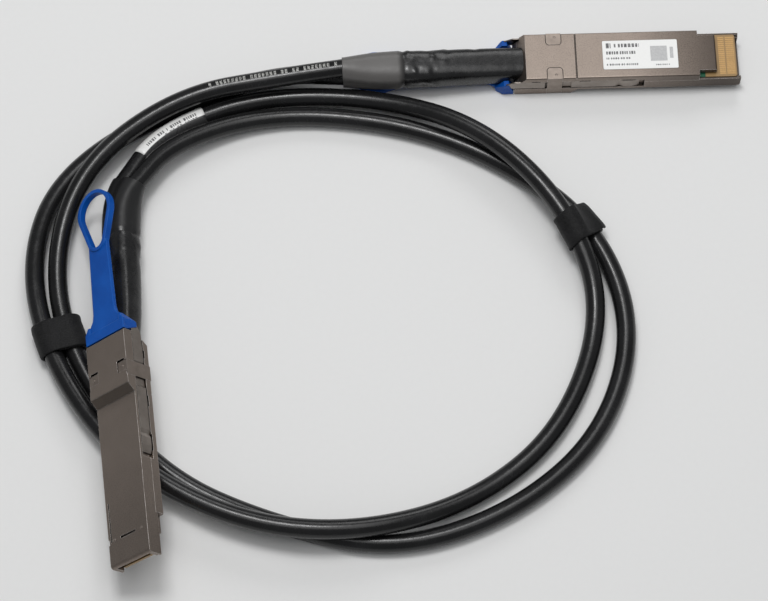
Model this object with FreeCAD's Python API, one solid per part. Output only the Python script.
# Direct attach copper cable: two four-lane plugs joined by two copper cables,
# coiled and held by two hook-and-loop ties. Millimetres, +Z up.
# The origin is the centre of plug A's backshell underside, on the resting surface,
# with +X along plug A towards its nose. Plug B is the same plug, moved to its own place.
import FreeCAD, Part
import math
import os
from FreeCAD import Placement, Rotation, Vector

# --- Plug body. Plug frame: x to the nose, z = 0 at the pull-tab face ---
plug_width = 18.35
nose_thickness = 8.5
backshell_step = 2.7
seat_length = 20.4
tab_side_length = 81.5
rear_slope_height = 5.5
rear_slope_run = 4.1
label_shell_front = 56.2
tongue_width = 14.0
tongue_length = 6.3
tongue_gap = 0.7
roof_wall = 1.0
floor_wall = 1.3
nose_wall = 0.7
channel_wall = 0.9
clamp_wall = 0.45
rear_wall = 2.2
edge_radius = 0.6
rear_chamfer = 0.4
rib_width = 2.0
rib_setback = 4.2
hold_down_setback = 8.2
slit_spans = ((-4.0, -1.0), (13.0, 17.0), (27.5, 33.5))
slit_depth = 0.8
slit_height = 0.45
groove_x = 12.0
groove_width = 0.6
groove_depth = 0.5
front_lip_radius = 1.2
nose_mark_setback = 9.1
nose_mark_width = 0.8
nose_slot_length = 7.0
nose_groove_length = 14.0
nose_groove_width = 0.5
nose_groove_inset = 1.1
nose_notch_length = 2.0
nose_dimple_y = 6.3

# --- Circuit card ---
card_thickness = 1.0
card_height = 7.4
card_clearance = 0.075
card_length = 56.0
card_front_setback = 1.3
card_ledge = 0.7
card_notch = 0.6
neck_front_x = 37.8
pad_count = 19
pad_pitch = 0.8
pad_width = 0.54
pad_thickness = 0.06
front_pad_length = 3.0
rear_pad_length = 2.2
pad_row_gap = 0.5
pad_edge_setback = 0.5

# --- Cable entry inside the plug ---
neck_width = 9.2
neck_height = 5.4
clamp_length = 7.0
wire_block_height = 4.2
fit_gap = 0.05

# --- Latch slider: a stamped steel strip bent to a U ---
sheet = 0.45
arm_inset = 0.125
arm_bottom = 4.0
arm_height = 4.4
arm_end_height = 2.0
arm_clearance = 0.3
arm_front_x = 34.7
arm_joggle = 0.43
channel_depth = 1.15
lug_length = 0.5
lug_reach = 1.65
lug_height = 1.2
release_travel = 2.6
crossbar_width = 2.0

# --- Return springs, in pockets closed by the slider arms ---
spring_diameter = 1.2
spring_length = 6.8
spring_gap = 0.05
spring_side_gap = 0.15
spring_middle_rise = 1.05

# --- Side clips: thin steel staples that hold the two shells together ---
clip_sheet = 0.35
clip_x = 1.5
clip_width = 5.4
clip_reach = 4.5
clip_hook_width = 3.6
clip_corner = 1.2
clip_gap = 0.05
clip_dimple_inset = 1.6
clip_dent_radius = 0.5
clip_dent_depth = 0.15
clip_slot_width = 0.7
dimple_radius = 0.6
dimple_top_radius = 0.3
dimple_height = 0.2

# --- Pull tab: one moulding over the slider's rear ends ---
tab_gap = 0.4
tab_base_depth = 3.9
tab_wrap_depth = 6.6
tab_wrap_height = 6.5
tab_wrap_lean = 1.7
tab_wrap_wall = 2.1
tab_floor_gap = 0.15
tab_base_thickness = 1.75
strap_width = 10.0
strap_thickness = 1.5
strap_taper = 0.7
flare_length = 6.5
loop_reach = 57.9
loop_width = 16.0
loop_depth = 2.4
loop_rim = 1.3
loop_neck_radius = 4.3
loop_length = 23.7

# --- Rating sticker on plug A's label face ---
sticker_length = 27.0
sticker_width = 11.5
sticker_thickness = 0.12
sticker_x = 21.7
sticker_offset = -0.2

# --- Boots: shrunk sleeves over both cables ---
boot_front_width = 12.0
boot_front_height = 8.4
boot_middle_width = 12.2
boot_middle_height = 12.2
boot_middle_share = 2.0 / 3.0
boot_end_width = 8.3
boot_end_height = 15.0
boot_corner_share = 0.94
corner_steps = 4
boot_start_x = -5.4
boot_sections = 7
boot_start_handle = 0.36
boot_end_handle = 0.2

# --- Cables and their routes, one list of points each ---
cable_diameter = 6.8
cable_mid_height = 6.95
cable_entry = 0.6
arc_share = 0.45
cable_1_route = [
    (-71.7, -4.2, 14.1), (-92.0, -6.0, 12.5), (-131.5, -11.5, 10.5), (-166.5, -39.5, 10.2),
    (-176.5, -81.0, 6.0), (-162.0, -120.0, 4.4), (-135.0, -150.0, 3.5), (-100.0, -171.5, 3.5),
    (-58.5, -182.0, 3.5), (-17.5, -169.5, 3.5), (14.5, -142.5, 3.5), (27.5, -102.5, 4.5),
    (14.5, -63.5, 5.9), (-17.5, -36.0, 3.5), (-54.0, -20.8, 3.5), (-98.5, -16.2, 3.5),
    (-133.8, -29.0, 8.2), (-147.6, -47.0, 10.8),
]
cable_2_route = [
    (-71.7, -3.7, 7.2), (-94.0, -1.0, 4.8), (-129.5, -10.5, 3.6), (-173.0, -37.5, 3.6),
    (-184.5, -74.0, 5.6), (-174.0, -114.0, 5.4), (-149.5, -147.5, 4.0), (-112.0, -171.5, 10.5),
    (-72.0, -178.0, 11.5), (-31.0, -165.5, 3.2), (1.0, -140.0, 4.2), (17.5, -96.0, 3.8),
    (5.5, -60.0, 12.4), (-23.0, -27.5, 11.8), (-60.0, -10.8, 3.5), (-104.0, -9.5, 3.6),
    (-137.5, -23.0, 3.75), (-150.6, -44.2, 4.2),
]
boot_a_start_direction = (-1.0, -0.07, 0.06)
boot_b_start_direction = (-1.0, -0.03, 0.28)
boot_a_end_direction = (-1.0, -0.06, -0.03)
boot_b_end_direction = (0.5, 0.86, -0.05)

# --- Wire label on cable 2, and the two hook-and-loop ties ---
wrap_end_gap = 13.0
wrap_length = 28.0
wrap_thickness = 0.12
wrap_gap = 0.05
tie_width = 12.0
tie_thickness = 1.25
tie_gap = 0.3
tie_1_station = 163.0
tie_2_station = 477.0
tie_1_overlap_side = -1.0
tie_2_overlap_side = 1.0

# --- Where plug B lies: the centre of its rear edge, and its turn, pitch and roll ---
plug_b_place = (-150.6, -112.65, 16.0)
plug_b_turn = -84.5
plug_b_pitch = 4.3
plug_b_roll = 221.0

# --- Sizes that follow from the ones above ---
plug_height = nose_thickness + backshell_step
half_width = plug_width / 2.0
seat_front = seat_length / 2.0
rear_x = -seat_length / 2.0
rear_knee_z = plug_height - rear_slope_height
label_rear_x = rear_x + rear_slope_run
nose_x = rear_x + tab_side_length
nose_mark_x = nose_x - nose_mark_setback
ramp_front_x = seat_front + backshell_step
card_top = card_height + card_thickness
card_front_x = nose_x - card_front_setback
card_rear_x = card_front_x - card_length
card_half_width = half_width - nose_wall - card_clearance
roof_z = plug_height - roof_wall
channel_floor = half_width - channel_depth
channel_front_x = arm_front_x + 1.8
channel_bottom = arm_bottom - arm_clearance
channel_top = arm_bottom + arm_height + arm_clearance
cavity_half_width = channel_floor - channel_wall
cavity_rear_x = rear_x + rear_slope_run + rear_wall - 0.6
clamp_half_width = channel_floor - spring_diameter - spring_side_gap - clamp_wall
arm_outer = half_width - arm_inset
clip_wall_y = half_width - clip_sheet
tab_front_x = rear_x - tab_gap
lug_rear_x = -lug_length
tab_rear_x = tab_front_x - tab_base_depth
loop_tip_x = rear_x - loop_reach
boot_b_centre = (Vector(*cable_1_route[-1]) + Vector(*cable_2_route[-1])) * 0.5
boot_a_centre = (Vector(*cable_1_route[0]) + Vector(*cable_2_route[0])) * 0.5


def block(x0, x1, y0, y1, z0, z1):
    """A rectangular block between the given limits."""
    return Part.makeBox(x1 - x0, y1 - y0, z1 - z0, Vector(x0, y0, z0))


def side_prism(points, y0, y1):
    """A side-view outline in x and z, made solid from y0 to y1."""
    wire = Part.makePolygon([Vector(x, y0, z) for x, z in points + points[:1]])
    return Part.Face(wire).extrude(Vector(0, y1 - y0, 0))


def plan_prism(points, z0, z1):
    """A plan-view outline in x and y, made solid from z0 to z1."""
    wire = Part.makePolygon([Vector(x, y, z0) for x, y in points + points[:1]])
    return Part.Face(wire).extrude(Vector(0, 0, z1 - z0))


def mirrored(shape):
    """The same shape on the other side of the plug."""
    return shape.mirror(Vector(0, 0, 0), Vector(0, 1, 0))


def on_both_sides(shape):
    """The shape and its mirror image as one tool for a cut."""
    return Part.makeCompound([shape, mirrored(shape)])


def edges_along_x(shape, y, z):
    """The straight edges of a shape that run along x at the given y and z."""
    found = []
    for edge in shape.Edges:
        box = edge.BoundBox
        if box.XLength > 5.0 and box.YLength < 0.01 and box.ZLength < 0.01:
            if abs(abs(box.YMin) - y) < 0.01 and abs(box.ZMin - z) < 0.01:
                found.append(edge)
    return found


def edges_along_y(shape, x, z):
    """The straight edges of a shape that run along y at the given x and z."""
    found = []
    for edge in shape.Edges:
        box = edge.BoundBox
        if box.YLength > 5.0 and box.XLength < 0.01 and box.ZLength < 0.01:
            if abs(box.XMin - x) < 0.01 and abs(box.ZMin - z) < 0.01:
                found.append(edge)
    return found


def rear_x_at(z):
    """The x of the backshell's rear face at height z."""
    if z <= rear_knee_z:
        return rear_x
    return rear_x + (z - rear_knee_z) * rear_slope_run / rear_slope_height


def plug_interior_side():
    """The half space in front of the plug's rear face, as one wide solid."""
    top = plug_height + 6.0
    outline = [(rear_x, -6.0), (rear_x, rear_knee_z), (rear_x_at(top), top), (nose_x, top), (nose_x, -6.0)]
    return side_prism(outline, -2.0 * half_width, 2.0 * half_width)


def slider_channel():
    """The channel along one side that a slider arm runs in, with its relief slits."""
    channel = block(rear_x - 1.0, channel_front_x, channel_floor, half_width + 1.0, channel_bottom, channel_top)
    for start, end in slit_spans:
        slit = block(
            start, end, half_width - slit_depth, half_width + 1.0, channel_top, channel_top + slit_height
        )
        channel = channel.fuse(slit)
    return channel


def spring_pocket():
    """The pocket beside the channel for a return spring and the arm's lug."""
    rear = lug_rear_x - spring_length - 2.0 * spring_gap
    inner = channel_floor - spring_diameter - spring_side_gap
    middle = arm_bottom + spring_middle_rise
    half = spring_diameter / 2.0 + spring_side_gap
    return block(rear, lug_length + 0.1, inner, channel_floor + 0.1, middle - half, middle + half)


def clip_recess():
    """The shallow seat of a side clip on one side of both shells."""
    x0 = clip_x - clip_gap
    x1 = clip_x + clip_width + clip_gap
    wall = block(x0, x1, clip_wall_y - clip_gap, half_width + 1.0, -1.0, plug_height + 1.0)
    inner = half_width - clip_reach - clip_gap
    top = block(x0, x1, inner, half_width + 1.0, plug_height - clip_sheet, plug_height + 1.0)
    top = top.makeFillet(clip_corner, [edge for edge in top.Edges if is_upright(edge, inner)])
    hook_front = clip_x + clip_hook_width + clip_gap
    bottom = block(x0, hook_front, inner, half_width + 1.0, -1.0, dimple_height + clip_sheet)
    slot = block(x0 - clip_slot_width, x0 + 0.1, inner, inner + 3.5, -1.0, 0.8)
    return wall.fuse([top, bottom, slot])


def is_upright(edge, y):
    """Whether an edge runs along z at the given y."""
    box = edge.BoundBox
    return box.ZLength > 0.1 and box.XLength < 0.01 and box.YLength < 0.01 and abs(box.YMin - y) < 0.01


def neck_opening(gap):
    """The passage through the rear wall for the cable clamp's neck."""
    half = neck_width / 2.0 + gap
    low = cable_mid_height - neck_height / 2.0 - gap
    high = cable_mid_height + neck_height / 2.0 + gap
    opening = block(rear_x - 4.0, cavity_rear_x + 0.5, -half, half, low, high)
    long_edges = [edge for edge in opening.Edges if edge.BoundBox.XLength > 1.0]
    return opening.makeFillet(1.6, long_edges)


def card_cavity_floor():
    """The side outline of the hollow's floor, parallel to the plug's underside."""
    step = floor_wall + backshell_step
    clamp_front_x = cavity_rear_x + clamp_length
    return [(clamp_front_x, floor_wall), (seat_front - 0.5, floor_wall), (ramp_front_x - 0.5, step)]


def label_shell():
    """The die-cast half on the label side, with its tongue over the card."""
    outline = [
        (rear_x_at(card_height), card_height),
        (label_rear_x, plug_height),
        (label_shell_front, plug_height),
        (label_shell_front, card_height),
    ]
    shell = side_prism(outline, -half_width, half_width)
    shell = shell.makeFillet(edge_radius, edges_along_x(shell, half_width, plug_height))
    tongue_half = tongue_width / 2.0
    tongue_front = label_shell_front + tongue_length
    tongue_bottom = card_top + tongue_gap
    tongue = block(label_shell_front - 2.0, tongue_front, -tongue_half, tongue_half, tongue_bottom, plug_height)
    tongue = tongue.makeFillet(0.5, edges_along_y(tongue, tongue_front, plug_height))
    shell = shell.fuse(tongue)
    clamp_front_x = cavity_rear_x + clamp_length
    clamp_hollow = block(
        cavity_rear_x, clamp_front_x, -clamp_half_width, clamp_half_width, card_height - 1.0, roof_z
    )
    rear_hollow = block(
        clamp_front_x, neck_front_x, -cavity_half_width, cavity_half_width, card_height - 1.0, roof_z
    )
    front_half = half_width - nose_wall
    front_hollow = block(
        neck_front_x, label_shell_front + 1.0, -front_half, front_half, card_height - 1.0, tongue_bottom
    )
    shell = shell.cut(clamp_hollow).cut(rear_hollow).cut(front_hollow)
    rib_front = label_shell_front - hold_down_setback
    hold_down = block(rib_front - rib_width, rib_front, -front_half, front_half, card_top, roof_z)
    shell = shell.fuse(hold_down)
    shell = shell.cut(on_both_sides(slider_channel())).cut(on_both_sides(clip_recess()))
    shell = shell.cut(neck_opening(fit_gap))
    groove = block(
        groove_x - groove_width / 2.0, groove_x + groove_width / 2.0,
        -plug_width, plug_width, plug_height - groove_depth, plug_height + 1.0,
    )
    return shell.cut(groove).removeSplitter()


def tab_shell():
    """The die-cast half on the pull-tab side: backshell, ramp and nose tray."""
    outline = [
        (rear_x, 0.0),
        (seat_front, 0.0),
        (ramp_front_x, backshell_step),
        (nose_x, backshell_step),
        (nose_x, card_height),
        (rear_x_at(card_height), card_height),
        (rear_x, rear_knee_z),
    ]
    shell = side_prism(outline, -half_width, half_width)
    rear_edge = edges_along_y(shell, rear_x, 0.0)
    shell = shell.makeChamfer(rear_chamfer, rear_edge)
    front_edge = edges_along_y(shell, nose_x, backshell_step)
    shell = shell.makeFillet(front_lip_radius, front_edge)
    floor_line = card_cavity_floor()
    top = card_height + 1.0
    clamp_front_x = cavity_rear_x + clamp_length
    shell = shell.cut(
        block(cavity_rear_x, clamp_front_x, -clamp_half_width, clamp_half_width, floor_wall, top)
    )
    hollow_outline = floor_line + [(neck_front_x, floor_line[-1][1]), (neck_front_x, top), (clamp_front_x, top)]
    shell = shell.cut(side_prism(hollow_outline, -cavity_half_width, cavity_half_width))
    tray_half = card_half_width - card_ledge
    tray_floor = floor_line[-1][1]
    shell = shell.cut(block(neck_front_x - 0.1, nose_x + 1.0, -tray_half, tray_half, tray_floor, top))
    wall_top = card_top - 0.3
    for side in (-1.0, 1.0):
        inner = side * (half_width - nose_wall)
        outer = side * half_width
        wall = block(
            label_shell_front + 0.05, nose_x, min(inner, outer), max(inner, outer), card_height, wall_top
        )
        shell = shell.fuse(wall)
    rib_rear = card_rear_x + rib_setback
    rib = block(
        rib_rear, rib_rear + rib_width, -cavity_half_width, cavity_half_width, tray_floor - 0.2, card_height
    )
    shell = shell.fuse(rib)
    shell = shell.cut(on_both_sides(slider_channel())).cut(on_both_sides(spring_pocket()))
    shell = shell.cut(on_both_sides(clip_recess())).cut(neck_opening(fit_gap))
    shell = shell.cut(nose_marks())
    for side in (-1.0, 1.0):
        bump = dimple(nose_mark_x - nose_mark_width / 2.0, side * nose_dimple_y, backshell_step)
        shell = shell.fuse(bump)
    return shell.removeSplitter()


def dimple(x, y, face_z):
    """A small pressed bump that stands out below a face."""
    return Part.makeCone(
        dimple_radius, dimple_top_radius, dimple_height, Vector(x, y, face_z), Vector(0, 0, -1)
    )


def nose_marks():
    """The shallow cast slot and groove near the nose of the pull-tab face."""
    depth = backshell_step + 0.5
    low = backshell_step - 1.0
    half_slot = nose_slot_length / 2.0
    slot = block(nose_mark_x - nose_mark_width, nose_mark_x, -half_slot, half_slot, low, depth)
    outer = half_width - nose_groove_inset
    groove = block(
        nose_mark_x - nose_groove_length, nose_mark_x, outer - nose_groove_width, outer, low, depth - 0.15
    )
    notch_front = nose_mark_x + nose_mark_width
    notch = block(
        notch_front - nose_notch_length, notch_front, half_width - 0.5, half_width + 1.0, low, depth + 0.6
    )
    return Part.makeCompound([slot, groove, notch])


def circuit_board():
    """The card: narrow between the slider channels, wide in the nose tray."""
    narrow = cavity_half_width - 0.3
    wide = card_half_width
    step_x = neck_front_x + 0.4
    outline = [
        (card_rear_x, -narrow), (step_x, -narrow), (step_x, -wide),
        (card_front_x - card_notch, -wide), (card_front_x, -wide + card_notch),
        (card_front_x, wide - card_notch), (card_front_x - card_notch, wide),
        (step_x, wide), (step_x, narrow), (card_rear_x, narrow),
    ]
    return plan_prism(outline, card_height, card_top)


def contact_pads():
    """The gold edge contacts: two rows on top of the card, one row below."""
    pads = []
    front_end = card_front_x - pad_edge_setback
    rear_end = front_end - front_pad_length - pad_row_gap
    rows = (
        (front_end - front_pad_length, front_end, card_top),
        (rear_end - rear_pad_length, rear_end, card_top),
        (front_end - front_pad_length, front_end, card_height - pad_thickness),
    )
    for index in range(pad_count):
        y = (index - (pad_count - 1) / 2.0) * pad_pitch
        for x0, x1, z in rows:
            pads.append(block(x0, x1, y - pad_width / 2.0, y + pad_width / 2.0, z, z + pad_thickness))
    return Part.makeCompound(pads)


def cable_clamp():
    """The crimped block that grips both cables, with its neck in the rear opening."""
    half = clamp_half_width - fit_gap
    front = cavity_rear_x + clamp_length
    body = block(cavity_rear_x, front, -half, half, floor_wall, roof_z - fit_gap)
    neck = neck_opening(0.0)
    return body.fuse(neck.common(plug_interior_side())).removeSplitter()


def wire_block():
    """The potted block where the wire pairs meet the card's rear edge."""
    half = cavity_half_width - 0.3
    middle = card_height + card_thickness / 2.0
    low = middle - wire_block_height / 2.0
    return block(cavity_rear_x + clamp_length, card_rear_x, -half, half, low, roof_z - 0.3)


def slider_arm():
    """One slider arm in plan: joggled in under the clip, with a wedge at its tip."""
    joggle_start = clip_x - 0.9
    joggle_end = clip_x + clip_width + release_travel + 0.3
    outer = [
        (tab_rear_x + 0.6, arm_outer),
        (joggle_start, arm_outer),
        (joggle_start + 0.6, arm_outer - arm_joggle),
        (joggle_end, arm_outer - arm_joggle),
        (joggle_end + 0.6, arm_outer),
        (arm_front_x - 8.7, arm_outer),
        (arm_front_x - 7.2, arm_outer - 0.4),
        (arm_front_x - 5.7, arm_outer + 0.1),
        (arm_front_x - 2.7, arm_outer + 0.1),
        (arm_front_x - 0.8, arm_outer - 0.2),
        (arm_front_x, arm_outer - 0.5),
    ]
    inner = [(x, y - sheet) for x, y in reversed(outer)]
    arm = plan_prism(outer + inner, arm_bottom, arm_bottom + arm_height)
    slope = [
        (rear_x, arm_bottom + arm_height), (tab_rear_x, arm_bottom + arm_end_height),
        (tab_rear_x, plug_height), (rear_x, plug_height),
    ]
    return arm.cut(side_prism(slope, 0.0, plug_width))


def latch_slider():
    """The whole slider: two arms, their spring lugs and the crossbar behind the plug."""
    lug_middle = arm_bottom + spring_middle_rise
    lug_inner = arm_outer - sheet - lug_reach
    lug = block(
        lug_rear_x, lug_rear_x + lug_length, lug_inner, arm_outer - sheet / 2.0,
        lug_middle - lug_height / 2.0, lug_middle + lug_height / 2.0,
    )
    bar_rear = tab_rear_x + 1.0
    bar_front = bar_rear + crossbar_width
    bar_z = tab_floor_gap + 0.65
    leg = block(bar_rear, bar_front, arm_outer - sheet, arm_outer, bar_z, arm_bottom + 0.2)
    side = slider_arm().fuse([lug, leg])
    bar = block(bar_rear, bar_front, -arm_outer, arm_outer, bar_z, bar_z + sheet)
    return bar.fuse([side, mirrored(side)]).removeSplitter()


def teardrop(centre_big, radius_big, centre_small, radius_small, z0, z1):
    """A solid round a big and a small circle on the x axis, joined by their tangents."""
    distance = centre_small - centre_big
    lean = math.acos((radius_big - radius_small) / distance)
    big_tip = Vector(centre_big - radius_big, 0, z0)
    small_tip = Vector(centre_small + radius_small, 0, z0)
    big_up = Vector(centre_big + radius_big * math.cos(lean), radius_big * math.sin(lean), z0)
    small_up = Vector(centre_small + radius_small * math.cos(lean), radius_small * math.sin(lean), z0)
    big_down = Vector(big_up.x, -big_up.y, z0)
    small_down = Vector(small_up.x, -small_up.y, z0)
    edges = [
        Part.Arc(big_down, big_tip, big_up).toShape(),
        Part.LineSegment(big_up, small_up).toShape(),
        Part.Arc(small_up, small_tip, small_down).toShape(),
        Part.LineSegment(small_down, big_down).toShape(),
    ]
    return Part.Face(Part.Wire(edges)).extrude(Vector(0, 0, z1 - z0))


def pull_tab():
    """The moulded tab: wraps over the slider's ends, strap and finger loop."""
    low = tab_floor_gap
    base = block(tab_rear_x, tab_front_x, -half_width, half_width, low, low + tab_base_thickness)
    strap_low = low + (loop_depth - strap_thickness) / 2.0
    strap_high = strap_low + strap_thickness
    strap_half = strap_width / 2.0
    loop_low_end = loop_tip_x + loop_length
    flare_end = tab_rear_x - flare_length
    bend = flare_length / 3.0
    half_outline = [
        (tab_rear_x + 0.4, half_width),
        (tab_rear_x, half_width),
        (tab_rear_x - bend, half_width - 2.2),
        (tab_rear_x - 2.0 * bend, strap_half + 0.5),
        (flare_end, strap_half),
        (loop_low_end - loop_neck_radius * 0.7, strap_half - strap_taper),
    ]
    outline = half_outline + [(x, -y) for x, y in reversed(half_outline)]
    strap = plan_prism(outline, strap_low, strap_high)
    wrap_top = low + tab_wrap_height
    wrap_outline = [
        (tab_front_x, low),
        (tab_front_x, low + tab_base_thickness),
        (tab_front_x - tab_wrap_lean, wrap_top),
        (tab_rear_x + 0.5, wrap_top),
        (tab_rear_x - 0.6, wrap_top - 1.6),
        (tab_front_x - tab_wrap_depth, strap_high),
        (tab_front_x - tab_wrap_depth + 0.4, low),
    ]
    wrap = side_prism(wrap_outline, half_width - tab_wrap_wall, half_width)
    trim = plan_prism(
        [(tab_rear_x, half_width), (tab_rear_x - 3.0, half_width - 1.9),
         (tab_rear_x - 3.0, half_width + 1.0), (tab_rear_x, half_width + 1.0)],
        low - 1.0, wrap_top + 1.0,
    )
    wrap = wrap.cut(trim)
    big = loop_width / 2.0
    big_x = loop_tip_x + big
    small_x = loop_low_end - loop_neck_radius
    ring = teardrop(big_x, big, small_x, loop_neck_radius, low, low + loop_depth)
    hole = teardrop(
        big_x, big - loop_rim, small_x, loop_neck_radius - loop_rim, low - 1.0, low + loop_depth + 1.0
    )
    solid = base.fuse([strap, wrap, mirrored(wrap), ring]).cut(hole)
    return solid.cut(latch_slider()).removeSplitter()


def return_spring():
    """The room that one coiled return spring takes: a plain round bar."""
    middle = arm_bottom + spring_middle_rise
    y = channel_floor - spring_diameter / 2.0 - spring_side_gap / 2.0
    start = lug_rear_x - spring_gap - spring_length
    return Part.makeCylinder(spring_diameter / 2.0, spring_length, Vector(start, y, middle), Vector(1, 0, 0))


def side_clip():
    """One staple: a tab on the label face, a wall down the side, a hook below."""
    inner = half_width - clip_reach
    top = block(clip_x, clip_x + clip_width, inner, half_width, plug_height - clip_sheet, plug_height)
    top = top.makeFillet(clip_corner, [edge for edge in top.Edges if is_upright(edge, inner)])
    wall = block(clip_x, clip_x + clip_width, clip_wall_y, half_width, dimple_height, plug_height)
    hook = block(
        clip_x, clip_x + clip_hook_width, inner, half_width, dimple_height, dimple_height + clip_sheet
    )
    centre_y = half_width - clip_dimple_inset - dimple_radius
    top_dimple = Part.makeCylinder(
        clip_dent_radius, clip_sheet,
        Vector(clip_x + clip_width / 2.0 + 0.4, half_width - clip_dimple_inset, plug_height - clip_dent_depth),
    )
    bump = dimple(clip_x + clip_hook_width / 2.0, centre_y, dimple_height)
    return top.fuse([wall, hook, bump]).cut(top_dimple).removeSplitter()


def sticker():
    """The paper rating sticker on the label face."""
    half = sticker_width / 2.0
    y0 = sticker_offset - half
    y1 = sticker_offset + half
    plate = block(
        sticker_x, sticker_x + sticker_length, y0, y1, plug_height, plug_height + sticker_thickness
    )
    corners = [edge for edge in plate.Edges if edge.BoundBox.ZLength > sticker_thickness / 2.0]
    return plate.makeFillet(0.5, corners)


def plug_pieces():
    """Every rigid piece of one plug by its plain name, in the plug's own frame."""
    spring = return_spring()
    clip = side_clip()
    return {
        "label_shell": label_shell(),
        "tab_shell": tab_shell(),
        "circuit_board": circuit_board(),
        "contact_pads": contact_pads(),
        "wire_block": wire_block(),
        "cable_clamp": cable_clamp(),
        "latch_slider": latch_slider(),
        "pull_tab": pull_tab(),
        "return_spring_left": spring,
        "return_spring_right": mirrored(spring),
        "side_clip_left": clip,
        "side_clip_right": mirrored(clip),
    }


def section_wire(centre, across, tall, width, height):
    """A rounded rectangle of the given width and height about a centre, its corners in short flats."""
    radius = min(width, height) / 2.0 * boot_corner_share
    points = []
    for quarter in range(4):
        middle = math.radians(90.0 * quarter + 45.0)
        corner = centre + across * math.copysign(width / 2.0 - radius, math.cos(middle))
        corner = corner + tall * math.copysign(height / 2.0 - radius, math.sin(middle))
        for step in range(corner_steps + 1):
            angle = math.radians(90.0 * (quarter + step / corner_steps))
            points.append(corner + across * (radius * math.cos(angle)) + tall * (radius * math.sin(angle)))
    return Part.makePolygon(points + points[:1])


def size_along(t, start, middle, end):
    """A boot's size at a share of its length: even tapers from the start to the middle and on to the end."""
    if t < boot_middle_share:
        return start + (middle - start) * t / boot_middle_share
    return middle + (end - middle) * (t - boot_middle_share) / (1.0 - boot_middle_share)


def boot(placement, start_way, end_centre, end_way, end_tall, start_tall, start_size):
    """A shrunk sleeve that leaves the plug square and turns to its end direction."""
    start = placement.multVec(Vector(boot_start_x, 0, cable_mid_height))
    start_direction = placement.Rotation.multVec(Vector(*start_way))
    end_direction = Vector(*end_way).normalize()
    span = (end_centre - start).Length
    first_handle = start + start_direction * (span * boot_start_handle)
    last_handle = end_centre - end_direction * (span * boot_end_handle)
    wires = []
    for index in range(boot_sections):
        t = index / (boot_sections - 1.0)
        s = 1.0 - t
        centre = start * s ** 3 + first_handle * (3 * s * s * t)
        centre = centre + last_handle * (3 * s * t * t) + end_centre * t ** 3
        tangent = (first_handle - start) * (3 * s * s) + (last_handle - first_handle) * (6 * s * t)
        tangent = tangent + (end_centre - last_handle) * (3 * t * t)
        tangent = tangent.normalize()
        ease = t * t * (3.0 - 2.0 * t)
        tall = start_tall * (1.0 - ease) + end_tall * ease
        tall = (tall - tangent * tall.dot(tangent)).normalize()
        across = tangent.cross(tall)
        width = size_along(t, start_size[0], boot_middle_width, boot_end_width)
        height = size_along(t, start_size[1], boot_middle_height, boot_end_height)
        wires.append(section_wire(centre, across, tall, width, height))
    sleeve = Part.makeLoft(wires, True, True)
    inside = plug_interior_side()
    inside.Placement = placement
    return sleeve.cut(inside)


def route_edges(points, label):
    """Straight runs joined by tangent arcs, each arc as large as its two runs allow."""
    corners = [Vector(*point) for point in points]
    edges = []
    radii = []
    last = corners[0]
    for before, corner, after in zip(corners, corners[1:], corners[2:]):
        back = before - corner
        ahead = after - corner
        setback = arc_share * min(back.Length, ahead.Length)
        half_turn = (math.pi - back.getAngle(ahead)) / 2.0
        radius = setback / math.tan(half_turn)
        radii.append(radius)
        back = back.normalize()
        ahead = ahead.normalize()
        arc_start = corner + back * setback
        arc_end = corner + ahead * setback
        inward = (back + ahead).normalize()
        middle = corner + inward * (radius / math.cos(half_turn) - radius)
        edges.append(Part.LineSegment(last, arc_start).toShape())
        edges.append(Part.Arc(arc_start, middle, arc_end).toShape())
        last = arc_end
    edges.append(Part.LineSegment(last, corners[-1]).toShape())
    length = sum(edge.Length for edge in edges)
    print(label, "arc radii", [round(radius, 1) for radius in radii], "length", round(length, 1))
    return edges


def with_entries(points):
    """The route with both ends carried a little way into the boots."""
    first = Vector(*points[0])
    last = Vector(*points[-1])
    into_first = (first - Vector(*points[1])).normalize() * cable_entry
    into_last = (last - Vector(*points[-2])).normalize() * cable_entry
    return [tuple(first + into_first)] + points[1:-1] + [tuple(last + into_last)]


def swept(edges, outer_radius, inner_radius):
    """A round bar or sleeve along a path of lines and arcs."""
    path = Part.Wire(edges)
    start = edges[0].valueAt(edges[0].FirstParameter)
    direction = edges[0].tangentAt(edges[0].FirstParameter)
    profile = Part.Face(Part.Wire(Part.makeCircle(outer_radius, start, direction)))
    if inner_radius > 0.0:
        profile = profile.cut(Part.Face(Part.Wire(Part.makeCircle(inner_radius, start, direction))))
    return path.makePipe(profile)


def cable(points, boots, label):
    """One round copper cable along its route, ending face to face with both boots."""
    edges = route_edges(with_entries(points), label)
    solid = swept(edges, cable_diameter / 2.0, 0.0)
    section = math.pi * cable_diameter ** 2 / 4.0
    length = sum(edge.Length for edge in edges)
    print(label, "volume over section times length", round(solid.Volume / section / length, 5))
    for sleeve in boots:
        solid = solid.cut(sleeve)
    return solid


def part_of_route(edges, start, length):
    """The edges of a route between two stations along it."""
    kept = []
    station = 0.0
    end = start + length
    for edge in edges:
        first = max(start - station, 0.0)
        last = min(end - station, edge.Length)
        if last - first > 0.01:
            first_value = edge.getParameterByLength(first)
            last_value = edge.getParameterByLength(last)
            kept.append(edge.Curve.toShape(first_value, last_value))
        station += edge.Length
    return kept


def station_on(edges, station):
    """The point and direction at a station along a route."""
    for edge in edges:
        if station <= edge.Length:
            value = edge.getParameterByLength(station)
            return edge.valueAt(value), edge.tangentAt(value)
        station -= edge.Length
    raise ValueError("the station lies past the route's end")


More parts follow.
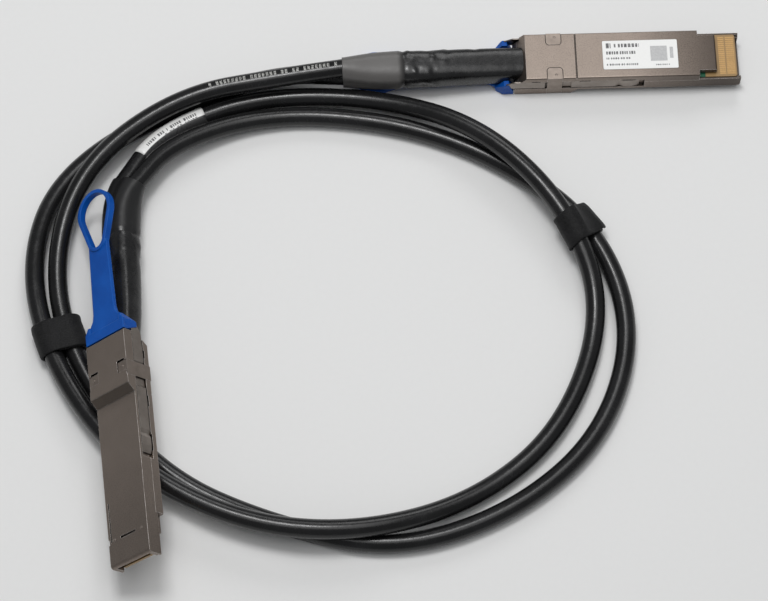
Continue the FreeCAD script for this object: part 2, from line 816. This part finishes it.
def station_near(edges, point):
    """The station of a route's point that lies nearest to a given point."""
    best = None
    station = 0.0
    for edge in edges:
        gap, pairs, _ = edge.distToShape(Part.Vertex(point))
        if best is None or gap < best[0]:
            value = edge.Curve.parameter(pairs[0][0])
            best = (gap, station + edge.Curve.length(edge.FirstParameter, value))
        station += edge.Length
    return best[1]


def nearest_on(edges, point):
    """The point of a route that lies nearest to a given point."""
    return Part.Wire(edges).distToShape(Part.Vertex(point))[1][0][0]


def crossing(edges, station, plane_point, direction):
    """Where a route crosses a plane, found from a station close to it."""
    for _ in range(4):
        point, tangent = station_on(edges, station)
        station += direction.dot(plane_point - point) / direction.dot(tangent)
    return station_on(edges, station)[0]


def hull_wire(first, second, direction, radius):
    """The band outline round two round cables in one plane across them, its bends in short flats."""
    along = (second - first).normalize()
    side = direction.cross(along).normalize()
    steps = 2 * corner_steps
    reach = radius / math.cos(math.pi / steps / 2.0)
    points = []
    for centre, way in ((first, 1.0), (second, -1.0)):
        for step in range(steps + 1):
            angle = math.pi * step / steps
            points.append(centre + (side * math.cos(angle) - along * math.sin(angle)) * (reach * way))
    return Part.makePolygon(points + points[:1])


def tie(route_1, route_2, station, overlap_side):
    """A hook-and-loop band round both cables, two layers thick over one flank."""
    first_middle, direction = station_on(route_1, station)
    second_middle = nearest_on(route_2, first_middle)
    second_station = station_near(route_2, second_middle)
    direction = (direction + station_on(route_2, second_station)[1]).normalize()
    span = second_middle - first_middle
    direction = (direction - span * (direction.dot(span) / span.dot(span))).normalize()
    middle = (first_middle + second_middle) * 0.5
    sections = []
    for share in (-0.5, 0.0, 0.5):
        plane_point = middle + direction * (share * tie_width)
        first = crossing(route_1, station + share * tie_width, plane_point, direction)
        second = crossing(route_2, second_station + share * tie_width, plane_point, direction)
        sections.append((first, second))
    inner_radius = cable_diameter / 2.0 + tie_gap
    solids = []
    for radius in (inner_radius, inner_radius + tie_thickness, inner_radius + 2.0 * tie_thickness):
        wires = [hull_wire(first, second, direction, radius) for first, second in sections]
        solids.append(Part.makeLoft(wires, True, True))
    inner, band, layer = solids
    across = direction.cross(span).normalize() * overlap_side
    along = span.normalize()
    corner = middle - along * (cable_diameter * 0.9) + across * (inner_radius + tie_thickness * 0.4)
    corner = corner - direction * tie_width
    keep = Part.Face(Part.makePolygon([
        corner,
        corner + along * (cable_diameter * 2.4),
        corner + along * (cable_diameter * 2.4) + across * 10.0,
        corner + across * 10.0,
        corner,
    ])).extrude(direction * (2.0 * tie_width))
    return band.fuse(layer.common(keep)).cut(inner).removeSplitter()


def save(shape, name, placement=Placement()):
    """Write one piece as a STEP file, in its place in the whole."""
    shape = shape.copy()
    shape.Placement = placement.multiply(shape.Placement)
    if not shape.isValid() or shape.Volume <= 0.0:
        print("NOT VALID", name)
    shape.exportStep(os.path.join("parts", name + ".step"))
    print(name, "volume", round(shape.Volume, 2), "solids", len(shape.Solids), "faces", len(shape.Faces))


os.makedirs("parts", exist_ok=True)

turn = Rotation(Vector(0, 0, 1), plug_b_turn)
pitch = Rotation(Vector(0, 1, 0), -plug_b_pitch)
roll = Rotation(Vector(1, 0, 0), plug_b_roll)
plug_b_rotation = turn.multiply(pitch).multiply(roll)
plug_b_reference = Vector(label_rear_x, 0, cable_mid_height)
plug_b = Placement(Vector(*plug_b_place) - plug_b_rotation.multVec(plug_b_reference), plug_b_rotation)
plug_a = Placement()

pieces = plug_pieces()
for name, shape in pieces.items():
    save(shape, name + "_a", plug_a)
    save(shape, name + "_b", plug_b)
save(sticker(), "sticker_a")

boot_a = boot(
    plug_a, boot_a_start_direction, boot_a_centre, boot_a_end_direction,
    (Vector(*cable_1_route[0]) - Vector(*cable_2_route[0])).normalize(),
    Vector(0, 0, 1), (boot_front_width, boot_front_height),
)
boot_b = boot(
    plug_b, boot_b_start_direction, boot_b_centre, boot_b_end_direction,
    (Vector(*cable_1_route[-1]) - Vector(*cable_2_route[-1])).normalize(),
    plug_b_rotation.multVec(Vector(0, -1, 0)), (boot_front_height, boot_front_width),
)
save(boot_a, "boot_a")
save(boot_b, "boot_b")

boots = (boot_a, boot_b)
save(cable(cable_1_route, boots, "cable 1"), "cable_1")
save(cable(cable_2_route, boots, "cable 2"), "cable_2")

route_1 = route_edges(cable_1_route, "route 1")
route_2 = route_edges(cable_2_route, "route 2")
save(tie(route_1, route_2, tie_1_station, tie_1_overlap_side), "tie_1")
save(tie(route_1, route_2, tie_2_station, tie_2_overlap_side), "tie_2")
route_2_length = sum(edge.Length for edge in route_2)
wrap_path = part_of_route(route_2, route_2_length - wrap_end_gap - wrap_length, wrap_length)
wrap_inner = cable_diameter / 2.0 + wrap_gap
save(swept(wrap_path, wrap_inner + wrap_thickness, wrap_inner), "cable_label")
